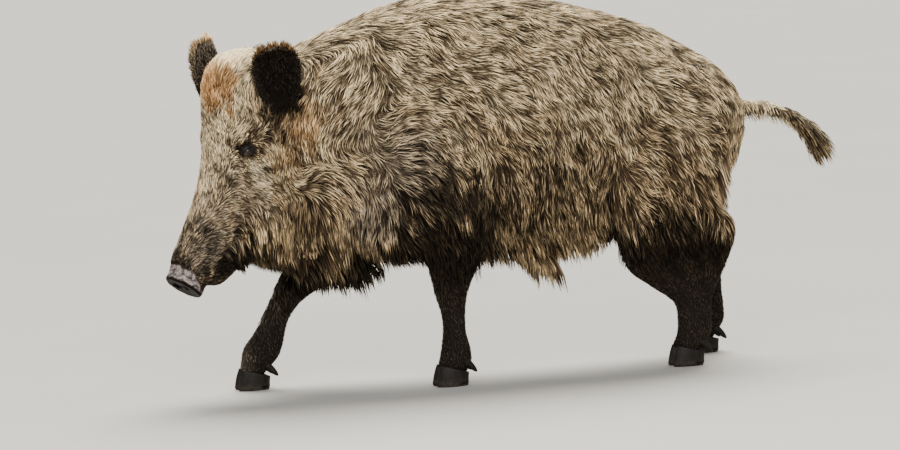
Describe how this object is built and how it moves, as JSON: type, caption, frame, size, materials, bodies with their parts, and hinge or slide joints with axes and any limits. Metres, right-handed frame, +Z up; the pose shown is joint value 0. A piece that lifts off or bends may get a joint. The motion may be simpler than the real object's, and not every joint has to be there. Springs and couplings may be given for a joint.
{
  "type": "wild boar",
  "caption": "Life-size still model of a wild boar in its thick winter coat, walking with its head low and turned to its left, tail held out behind.",
  "frame": {"origin": "on the floor, under the middle of the animal's outline", "axes": "+Z up, the animal walks towards -Y, its left side is towards +X"},
  "size_m": [0.3702, 1.3628, 0.7495],
  "materials": {
    "coat": "coarse grey-brown winter coat with pale tips",
    "legs": "short black-brown hair",
    "ear": "black hair with a red-brown fringe",
    "snout": "bare grey wrinkled skin",
    "hoof": "dark horn",
    "eye": "wet dark brown",
    "tail": "short pale hair, darker below",
    "tassel": "long dark hair"
  },
  "bodies": {
    "root": {"barrel": "coat", "belly": "coat", "belly_brush": "coat", "cheeks": "coat", "cranium": "coat", "left_ear": "ear", "left_eye": "eye", "left_fore_dewclaw_inner": "hoof", "left_fore_dewclaw_outer": "hoof", "left_fore_hoof_inner": "hoof", "left_fore_hoof_outer": "hoof", "left_fore_lower_leg": "legs", "left_fore_pastern": "legs", "left_fore_upper_leg": "legs", "left_hind_dewclaw_inner": "hoof", "left_hind_dewclaw_outer": "hoof", "left_hind_hoof_inner": "hoof", "left_hind_hoof_outer": "hoof", "left_hind_lower_leg": "legs", "left_hind_pastern": "legs", "left_hind_upper_leg": "legs", "lower_jaw": "coat", "muzzle": "coat", "neck": "coat", "right_ear": "ear", "right_eye": "eye", "right_fore_dewclaw_inner": "hoof", "right_fore_dewclaw_outer": "hoof", "right_fore_hoof_inner": "hoof", "right_fore_hoof_outer": "hoof", "right_fore_lower_leg": "legs", "right_fore_pastern": "legs", "right_fore_upper_leg": "legs", "right_hind_dewclaw_inner": "hoof", "right_hind_dewclaw_outer": "hoof", "right_hind_hoof_inner": "hoof", "right_hind_hoof_outer": "hoof", "right_hind_lower_leg": "legs", "right_hind_pastern": "legs", "right_hind_upper_leg": "legs", "rump": "coat", "shoulders": "coat", "snout_disc": "snout", "tail_stem": "tail", "tail_tassel": "tassel"}
  },
  "joints": []
}
